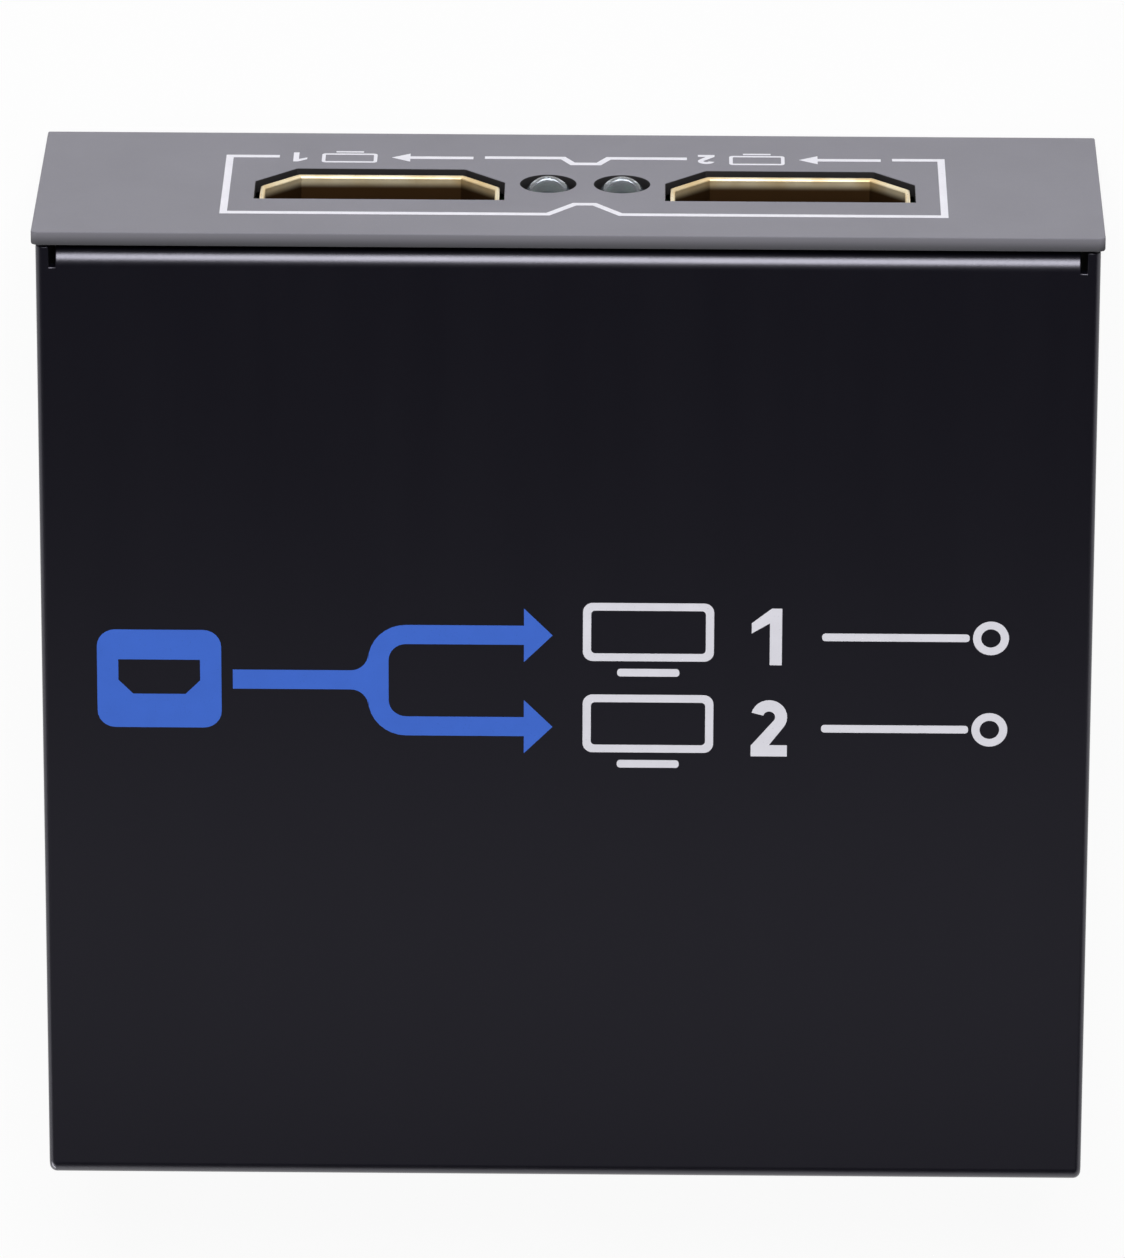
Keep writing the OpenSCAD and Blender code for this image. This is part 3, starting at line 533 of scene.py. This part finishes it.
def fired_body(name, pale, deep, grain_size, roughness):
    finish = Finish(name)
    grain = finish.noise(grain_size, 3)
    return finish.coat(
        Base_Color=finish.mix(grain, deep, pale),
        Roughness=roughness + 0.2 * grain,
        Normal=finish.relief(grain, 0.02 * MM, 0.4),
    )


epoxy_black = chip_epoxy()
for chip in ("splitter_chip", "memory_chips", "controller_chip", "regulators"):
    dress(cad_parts[chip], epoxy_black)
for leads in ("splitter_chip_leads", "small_chip_leads", "regulator_tabs", "passive_terminals"):
    dress(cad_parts[leads], tin)
dress(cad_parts["capacitor_cans"], marked_can())
dress(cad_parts["capacitor_bases"], socket_plastic)
ferrite = fired_body("sintered_ferrite", (0.045, 0.044, 0.043), (0.018, 0.018, 0.018), 0.15 * MM, 0.5)
dress(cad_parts["power_coil"], ferrite)
dress(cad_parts["coil_core"], ferrite)
crystal = plain_can()
dress(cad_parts["crystal_can"], crystal)
dress(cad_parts["crystal_base"], crystal)
glaze = fired_body("resistor_glaze", (0.022, 0.022, 0.024), (0.01, 0.01, 0.011), 0.12 * MM, 0.3)
dress(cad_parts["chip_resistors"], glaze)
ceramic = fired_body("fired_ceramic", (0.42, 0.29, 0.17), (0.29, 0.18, 0.1), 0.1 * MM, 0.4)
dress(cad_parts["chip_capacitors"], ceramic)
dress(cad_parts["board_screws"], zinc)


# Cover: label face, two side walls and two short end lips, folded from one sheet of steel.
# A slit at each end of the output lip leaves room for its fold. The sheet is sprayed black with a
# fine satin finish, slipped over the chassis and screwed on at the sides.

def black_paint():
    colour = (0.0019, 0.0016, 0.004)
    cool_gloss = (0.88, 0.86, 1.0, 1.0)
    finish = Finish("satin_black_paint")
    coat = sprayed_coat(finish, colour, 0.32)
    return finish.coat(Specular_IOR_Level=0.78, Specular_Tint=cool_gloss, **coat)


def arc(cx, cy, r, start, end, steps=8):
    """Points of an arc round cx, cy, between two angles in degrees."""
    turn = [math.radians(start + (end - start) * k / steps) for k in range(steps + 1)]
    return [(cx + r * math.cos(a), cy + r * math.sin(a)) for a in turn]


def across_x(outline, reach):
    """Closed form of an outline in Y and Z, drawn out to both sides along X."""
    form = bmesh.new()
    left, right = ([form.verts.new((x, y, z)) for y, z in outline] for x in (-reach, reach))
    form.faces.new(left)
    form.faces.new(right)
    for k in range(len(outline)):
        form.faces.new((left[k - 1], left[k], right[k], right[k - 1]))
    bmesh.ops.recalc_face_normals(form, faces=form.faces)
    return form


def cut_out(form, tools):
    """The form without the room that the tool forms take up."""
    blanks = []
    for k, shape in enumerate([form] + tools):
        mesh = bpy.data.meshes.new("blank_%d" % k)
        shape.to_mesh(mesh)
        shape.free()
        blanks.append(bpy.data.objects.new(mesh.name, mesh))
        bpy.context.scene.collection.objects.link(blanks[k])
    for tool in blanks[1:]:
        cut = blanks[0].modifiers.new("cut", "BOOLEAN")
        cut.operation = "DIFFERENCE"
        cut.solver = "EXACT"
        cut.object = tool
    result = bmesh.new()
    result.from_object(blanks[0], bpy.context.evaluated_depsgraph_get())
    for blank in blanks:
        bpy.data.objects.remove(blank)
    return result


def along_side(edge):
    """Picks the side edges of the block, without the upright ones at the output end and the hems."""
    ends = [v.co for v in edge.verts]
    one_side = abs(ends[0].x - ends[1].x) < past
    above_hem = max(end.z for end in ends) > hem + past
    short_of_output = min(end.y for end in ends) < far - past
    return one_side and above_hem and short_of_output


cover_low, cover_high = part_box("cover")
near, far = cover_low.y, cover_high.y
hem, crown = cover_low.z, cover_high.z
sheet_t, lip_h = 0.8 * MM, 2.6 * MM
output_bend, input_bend, side_bend = 1.25 * MM, 0.95 * MM, 0.45 * MM
slit_w, slit_l = 0.4 * MM, 1.3 * MM
edge_round = 0.08 * MM
past = 1 * MM
section = [(near, hem)]
section += arc(near + input_bend, crown - input_bend, input_bend, 180, 90)
section += [(far, crown), (far, hem)]
folded = across_x(section, cover_high.x)
round_over(folded, side_bend, 5, along_side)
lip_reach = cover_high.x - sheet_t - slit_w
outside_fold = [(far + past, crown + past), (far - output_bend, crown + past)]
outside_fold += arc(far - output_bend, crown - output_bend, output_bend, 90, 0, 16)
outside_fold.append((far + past, crown - output_bend))
slits = bmesh.new()
for side in (-1, 1):
    spot = (side * (lip_reach + slit_w / 2), far + (past - slit_l) / 2, crown - lip_h / 2)
    reach = Matrix.Diagonal((slit_w, slit_l + past, lip_h + 2 * past, 1))
    bmesh.ops.create_cube(slits, size=1, matrix=Matrix.Translation(spot) @ reach)
room = across_x([
    (near - past, hem - past), (far + past, hem - past), (far + past, crown - lip_h),
    (far - sheet_t, crown - lip_h), (far - sheet_t, crown - sheet_t),
    (near + sheet_t, crown - sheet_t), (near + sheet_t, crown - lip_h), (near - past, crown - lip_h),
], cover_high.x - sheet_t)
screw_low, screw_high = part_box("cover_screws")
screw_z = (screw_low.z + screw_high.z) / 2
screw_y, sink_r = 17 * MM, 2.4 * MM
sinks = bmesh.new()
for side in (-1, 1):
    sideways = Matrix.Rotation(side * math.pi / 2, 4, "Y")
    for y in (-screw_y, screw_y):
        seat = Matrix.Translation((side * cover_high.x, y, screw_z))
        bmesh.ops.create_cone(
            sinks, cap_ends=True, segments=48, radius1=sink_r - past, radius2=sink_r + past,
            depth=2 * past, matrix=seat @ sideways,
        )
sheet = cut_out(folded, [across_x(outside_fold, lip_reach), room, slits, sinks])
round_over(sheet, edge_round, 2)
cover = settled(sheet, "cover_sheet")
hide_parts("cover")
dress(cover, black_paint())


# Cover screws: four countersunk cross-head screws of blackened steel, two in each side wall.
# Driving them has rubbed the oxide off in small patches.

def black_oxide():
    finish = Finish("black_oxide_steel")
    rub = finish.noise(0.35 * MM, 3)
    bare = finish.step(rub, 0.62, 0.75)
    return finish.coat(
        Base_Color=finish.mix(bare, (0.022, 0.022, 0.024), (0.2, 0.19, 0.18)),
        Metallic=0.85,
        Roughness=0.34 + 0.2 * rub,
        Normal=finish.relief(rub, 0.01 * MM, 0.3),
    )


dress(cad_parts["cover_screws"], black_oxide())


# Print on the label face: silk-screened white and blue ink, a plain sign for one source and two screens.
# Each colour is one thin layer on the paint.

INK_T = 0.016 * MM
INK_BITE = 0.002 * MM


def rounded_loop(left, bottom, right, top, r, steps=6):
    """Outline of a rectangle with rounded corners, as points in millimetres."""
    corners = ((right - r, top - r), (left + r, top - r), (left + r, bottom + r), (right - r, bottom + r))
    points = []
    for k, (cx, cy) in enumerate(corners):
        points += arc(cx, cy, r, 90 * k, 90 * (k + 1), steps)
    return points


def ring_loops(cx, cy, r, line, steps=36):
    """Outer and inner outline of a ring of even width."""
    return [arc(cx, cy, s, 0, 360, steps)[:-1] for s in (r + line / 2, r - line / 2)]


def screen_sign(x, y, w, h, line, foot_w, radii):
    """Outlines of a screen on a foot, centred at x, y. The radii are those of frame, pane and foot."""
    left, right, bottom, top = x - w / 2, x + w / 2, y - h / 2, y + h / 2
    frame_r, pane_r, foot_r = radii
    return [
        rounded_loop(left, bottom, right, top, frame_r),
        rounded_loop(left + line, bottom + line, right - line, top - line, pane_r),
        rounded_loop(x - foot_w / 2, bottom - 2 * line, x + foot_w / 2, bottom - line, foot_r),
    ]


def numeral_one(x, y, h):
    """Outline of a figure 1 with its lower left corner at x, y."""
    w, stem = 0.5 * h, 0.2 * h
    return [[(x + w - stem, y), (x + w, y), (x + w, y + h), (x + w - 0.85 * stem, y + h),
             (x, y + 0.74 * h), (x, y + 0.56 * h), (x + w - stem, y + 0.74 * h)]]


def numeral_two(x, y, h):
    """Outline of a figure 2 with its lower left corner at x, y."""
    w, stem = 0.6 * h, 0.2 * h
    r = w / 2
    cx, cy = x + r, y + h - r
    outside = arc(cx, cy, r, 165, -38, 16)
    inside = arc(cx, cy, r - stem, -38, 165, 16)
    foot = [(x + 1.5 * stem, y + stem), (x + w, y + stem), (x + w, y), (x, y), (x, y + 0.95 * stem)]
    return [outside + foot + inside]


def printed(name, loops, face, material, slot):
    """A thin layer of ink: closed outlines in millimetres, filled, on the plane that a matrix gives."""
    outline = bpy.data.curves.new(name, "CURVE")
    outline.dimensions = "2D"
    outline.fill_mode = "BOTH"
    outline.extrude = INK_T / 2
    for loop in loops:
        spline = outline.splines.new("POLY")
        spline.points.add(len(loop) - 1)
        for point, (x, y) in zip(spline.points, loop):
            point.co = (x * MM, y * MM, 0, 1)
        spline.use_cyclic_u = True
    drawn = bpy.data.objects.new(name, outline)
    form = bmesh.new()
    form.from_mesh(drawn.to_mesh())
    bpy.data.objects.remove(drawn)
    bmesh.ops.remove_doubles(form, verts=form.verts, dist=WELD)
    form.transform(face)
    bmesh.ops.recalc_face_normals(form, faces=form.faces)
    piece = settled(form, name)
    dress(piece, material)


def screen_ink(name, colour):
    finish = Finish(name)
    mesh_mark = finish.noise(0.12 * MM, 1)
    cover_depth = finish.noise(1.6 * MM, 3)
    tone = finish.mix(cover_depth, tinted(colour, 0.92), tinted(colour, 1.06))
    thin = finish.step(mesh_mark, 0.66, 0.8)
    return finish.coat(
        Base_Color=finish.mix(0.35 * thin, tone, tinted(colour, 0.6)),
        Roughness=0.46 + 0.16 * mesh_mark,
        Specular_IOR_Level=0.3,
        Normal=finish.relief(mesh_mark, 0.006 * MM, 0.3),
    )


white_ink = screen_ink("white_screen_ink", (0.83, 0.82, 0.88))
blue_ink = screen_ink("blue_screen_ink", (0.055, 0.16, 0.68))
sign_mid = 2.2
row_rise = 3.0
trunk_start, trunk_w = -20.4, 1.25
elbow_x, elbow_r = -13.2, 1.7
branch_end, arrow = -2.6, 1.75
branch_x, branch_y = elbow_x + 2 * elbow_r, row_rise - elbow_r
upper = [(trunk_start, trunk_w / 2)]
upper += arc(elbow_x, elbow_r, elbow_r - trunk_w / 2, -90, 0)
upper += arc(branch_x, branch_y, elbow_r + trunk_w / 2, 180, 90)
upper += [
    (branch_end, row_rise + trunk_w / 2), (branch_end, row_rise + arrow), (branch_end + arrow, row_rise),
    (branch_end, row_rise - arrow), (branch_end, row_rise - trunk_w / 2),
]
upper += arc(branch_x, branch_y, elbow_r - trunk_w / 2, 90, 180)
fork = [(x, sign_mid + y) for x, y in upper] + [(x, sign_mid - y) for x, y in reversed(upper)]
box_left, box_right, box_low, box_high, box_r = -28.7, -21.1, -1.0, 5.4, 1.1
source_box = rounded_loop(box_left, box_low, box_right, box_high, box_r)
hole_left, hole_right, hole_low, hole_high = -27.4, -22.4, 1.2, 3.45
hole_bevel = 0.9
keyed_hole = [
    (hole_left, hole_high), (hole_right, hole_high),
    (hole_right, hole_low + hole_bevel), (hole_right - hole_bevel, hole_low),
    (hole_left + hole_bevel, hole_low), (hole_left, hole_low + hole_bevel),
]
label_face = Matrix.Translation((0, 0, cover_high.z + INK_T / 2 - INK_BITE))
printed("label_print_blue", [source_box, keyed_hole, fork], label_face, blue_ink, "black_paint")
line = 0.5
screen_x, screen_lift, screen_w, screen_h = 5.0, 0.25, 8.0, 3.8
screen_foot, screen_radii = 3.8, (0.6, 0.25, 0.2)
figure_x, figure_drop, figure_h = 11.3, 1.85, 3.7
bar_start, bar_end, bar_r = 15.6, 24.6, 0.2
ring_x, ring_r = 25.9, 0.85
white_loops = []
for row, numeral in ((1, numeral_one), (-1, numeral_two)):
    y = sign_mid + row * row_rise
    white_loops += screen_sign(screen_x, y + screen_lift, screen_w, screen_h, line, screen_foot, screen_radii)
    white_loops += numeral(figure_x, y - figure_drop, figure_h)
    white_loops.append(rounded_loop(bar_start, y - line / 2, bar_end, y + line / 2, bar_r))
    white_loops += ring_loops(ring_x, y, ring_r, line)
printed("label_print_white", white_loops, label_face, white_ink, "black_paint")


# Print on the end panels: white silk-screened frames round the sockets and lamps, with plain marks.
# The long lines of the output frame dip in between its two lamps.

def stroke(points, line):
    """Outline of a line of even width along the points, with sharp corners."""
    sides = ([], [])
    for k, here in enumerate(points):
        here = Vector(here)
        before = (here - Vector(points[k - 1])).normalized() if k else None
        after = (Vector(points[k + 1]) - here).normalized() if k + 1 < len(points) else None
        ahead = ((before or after) + (after or before)).normalized()
        reach = line / 2 / ahead.dot(after or before)
        across = Vector((-ahead.y, ahead.x)) * reach
        sides[0].append(tuple(here + across))
        sides[1].append(tuple(here - across))
    return sides[0] + sides[1][::-1]


def dip(middle, y, half, flat, deep):
    """Points of a dip in a line at height y, from its right end to its left."""
    return [(middle + half, y), (middle + flat, y + deep), (middle - flat, y + deep), (middle - half, y)]


def arrow_sign(x, y, length, stem, head):
    """Outline of an arrow that starts at x, y and points to the right."""
    neck = x + length - 0.75 * head
    return [(x, y - stem / 2), (neck, y - stem / 2), (neck, y - head / 2), (x + length, y),
            (neck, y + head / 2), (neck, y + stem / 2), (x, y + stem / 2)]


def panel_face(y, outward):
    """Places a drawing on a panel: its x runs to the right and its y up for someone facing the panel."""
    turned = Matrix(((-outward, 0, 0), (0, 0, outward), (0, 1, 0))).to_4x4()
    return Matrix.Translation((0, y + outward * (INK_T / 2 - INK_BITE), 0)) @ turned


def middle_x(node):
    """Place of a node across the box, in millimetres."""
    low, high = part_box(node)
    return (low.x + high.x) / 2 / MM


panel_line = 0.45
chassis_low, chassis_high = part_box("chassis")
top = chassis_high.z / MM
line_low, line_high = top - 14.55, top - 3.9
line_left, line_right = -22.75, 20.9
lamp_mid = -(middle_x("output_1_lamp") + middle_x("output_2_lamp")) / 2
mark_1, mark_2 = -middle_x("output_1_shell"), -middle_x("output_2_shell")
mark_half = 6.3
upper_line = [(mark_2 - mark_half, line_low), (line_left, line_low), (line_left, line_high)]
upper_line += reversed(dip(lamp_mid, line_high, half=2.2, flat=0.6, deep=-1.9))
upper_line += [(line_right, line_high), (line_right, line_low), (mark_1 + mark_half, line_low)]
lower_line = [(mark_1 - mark_half, line_low)]
lower_line += dip(lamp_mid, line_low, half=1.4, flat=0.8, deep=1.1)
lower_line.append((mark_2 + mark_half, line_low))
panel_loops = [stroke(upper_line, panel_line), stroke(lower_line, panel_line)]
arrow_x, arrow_lift, arrow_size = -5.6, 0.1, (5.0, 0.45, 1.5)
sign_x, sign_lift, sign_line = 2.0, 0.25, 0.22
sign_w, sign_h, sign_foot, sign_radii = 3.4, 1.7, 1.7, (0.25, 0.08, 0.05)
digit_x, digit_drop, digit_h = 4.6, 0.75, 1.7
for x, numeral in ((mark_1, numeral_one), (mark_2, numeral_two)):
    sign_at = (x + sign_x, line_low + sign_lift)
    panel_loops.append(arrow_sign(x + arrow_x, line_low + arrow_lift, *arrow_size))
    panel_loops += screen_sign(*sign_at, sign_w, sign_h, sign_line, sign_foot, sign_radii)
    panel_loops += numeral(x + digit_x, line_low - digit_drop, digit_h)
printed("output_panel_print", panel_loops, panel_face(chassis_high.y, 1), white_ink, "grey_paint")
input_mid, jack_mid = middle_x("input_shell"), middle_x("jack_pin")
mark_y = line_low + 0.2
gap_half, frame_half, frame_top = 2.2, 9.3, line_high - 1.2
input_line = [(-gap_half, line_low), (-frame_half, line_low), (-frame_half, frame_top)]
input_line += [(-x, y) for x, y in reversed(input_line)]
in_arrow_l, in_arrow_stem, in_arrow_head = 2.6, 0.6, 1.8
power_r, power_line = 1.0, 0.3
stem_low, stem_high, stem_half, stem_r = mark_y + 0.1, mark_y + 1.25, power_line / 2, 0.06
input_loops = [
    stroke([(input_mid + x, y) for x, y in input_line], panel_line),
    arrow_sign(input_mid - in_arrow_l / 2, mark_y, in_arrow_l, in_arrow_stem, in_arrow_head),
    stroke(arc(jack_mid, mark_y, power_r, 125, 415, 24), power_line),
    rounded_loop(jack_mid - stem_half, stem_low, jack_mid + stem_half, stem_high, stem_r),
]
printed("input_panel_print", input_loops, panel_face(chassis_low.y, -1), white_ink, "grey_paint")


# Floor: a plain pale sweep, flat under the box and rising to a low wall far away on all sides.
# Seen directly, or in metal and glass, it is near white and keeps the soft shadow of the box.

def pale_sweep():
    glow_share = 0.94
    finish = Finish("pale_sweep")
    ray = finish.node("ShaderNodeLightPath", {}, {}, "Is Camera Ray")
    glossy = Tone(finish, ray.socket.node.outputs["Is Glossy Ray"])
    through = Tone(finish, ray.socket.node.outputs["Is Transmission Ray"])
    mottle = finish.noise(30 * MM, 2)
    matt = finish.node("ShaderNodeBsdfDiffuse", {}, {
        "Color": finish.mix(mottle, (0.84, 0.84, 0.84), (0.88, 0.88, 0.88)),
    })
    glow = finish.node("ShaderNodeEmission", {}, {"Color": (1, 1, 1, 1), "Strength": 1.0})
    seen = ray | glossy | through
    shader = finish.node("ShaderNodeMixShader", {}, {0: seen * glow_share, 1: matt, 2: glow})
    finish.node("ShaderNodeOutputMaterial", {}, {"Surface": shader})
    return finish.material


flat_r, sweep_r, wall_h = 2.4, 0.8, 1.4
floor_drop = 0.02 * MM
floor_steps = 64
sweep_profile = [(0.02, 0), (0.3, 0), (1.2, 0), (flat_r, 0)]
sweep_profile += arc(flat_r, sweep_r, sweep_r, -90, 0)[1:]
sweep_profile.append((flat_r + sweep_r, wall_h))
sweep = bmesh.new()
centre = sweep.verts.new((0, 0, 0))
rings = []
for radius, height in sweep_profile:
    circle = arc(0, 0, radius, 0, 360, floor_steps)[:-1]
    rings.append([sweep.verts.new((x, y, height)) for x, y in circle])
for k in range(floor_steps):
    after = (k + 1) % floor_steps
    sweep.faces.new((centre, rings[0][k], rings[0][after]))
    for inner, outer in zip(rings, rings[1:]):
        sweep.faces.new((inner[k], outer[k], outer[after], inner[after]))
sweep_mesh = bpy.data.meshes.new("floor")
sweep.to_mesh(sweep_mesh)
sweep.free()
sweep_mesh.shade_smooth()
floor = bpy.data.objects.new("floor", sweep_mesh)
bpy.context.scene.collection.objects.link(floor)
floor.location.z = -floor_drop
floor.data.materials.append(pale_sweep())
floor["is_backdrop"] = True


# Light: one soft box above the output end, a narrow dim card over the input end of the label, a low
# strip that fills the input panel, and a dim room. At this level a colour comes out about as written.

def soft_box(name, place, aim, width, height, radiance):
    lamp = bpy.data.lights.new(name, "AREA")
    lamp.shape = "RECTANGLE"
    lamp.size = width
    lamp.size_y = height
    lamp.energy = radiance * math.pi * width * height
    piece = bpy.data.objects.new(name, lamp)
    bpy.context.scene.collection.objects.link(piece)
    piece.location = place
    piece.rotation_euler = (Vector(aim) - Vector(place)).to_track_quat("-Z", "Y").to_euler()
    piece.visible_camera = False


key_tilt = math.radians(40)
key_reach = 0.6
key_place = (0, key_reach * math.sin(key_tilt), key_reach * math.cos(key_tilt))
soft_box("key", key_place, (0, 0, 0.015), width=0.26, height=0.28, radiance=15)
card_x, card_y, card_z = 0.02, -0.07, 0.15
soft_box("card", (card_x, card_y, card_z), (card_x, card_y, 0), width=0.5, height=0.04, radiance=0.41)
soft_box("fill", (-0.45, -0.66, 0.07), (0, 0, 0.01), width=0.6, height=0.14, radiance=12)
room_tone = (0.03, 0.03, 0.04, 1)
world = bpy.data.worlds.new("room")
world.use_nodes = True
world.node_tree.nodes["Background"].inputs["Color"].default_value = room_tone
bpy.context.scene.world = world
bpy.context.scene.view_settings.view_transform = "Standard"


# Camera: fitted to the corners and edges of the box in the photograph. It looks down on the label,
# tilted towards the output end. The long lens keeps the far end of the box nearly as wide as the near one.

photo_h = 1258
focal_px = 10624
tilt, turn, roll = (math.radians(a) for a in (21.335, 0.545, 0.194))
off_x, off_y = 5.4, 38.38
distance = 659.15 * MM
target = Vector((0, -0.5, 12.0)) * MM
back = Vector((math.sin(turn) * math.cos(tilt), math.sin(tilt), math.cos(tilt) * math.cos(turn)))
back.normalize()
level = Vector((0, 1, 0)).cross(back).normalized()
upright = back.cross(level)
across = math.cos(roll) * level + math.sin(roll) * upright
above = math.cos(roll) * upright - math.sin(roll) * level
aim = (-focal_px * back - off_x * across + off_y * above).normalized()
across = (across - across.dot(aim) * aim).normalized()
above = across.cross(aim)
lens = bpy.data.cameras.new("camera")
lens.sensor_width = 36
lens.lens = focal_px * lens.sensor_width / photo_h
camera = bpy.data.objects.new("camera", lens)
bpy.context.scene.collection.objects.link(camera)
facing = Matrix((across, above, -aim)).transposed().to_4x4()
camera.matrix_world = Matrix.Translation(target + distance * back) @ facing
bpy.context.scene.camera = camera

low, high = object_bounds()
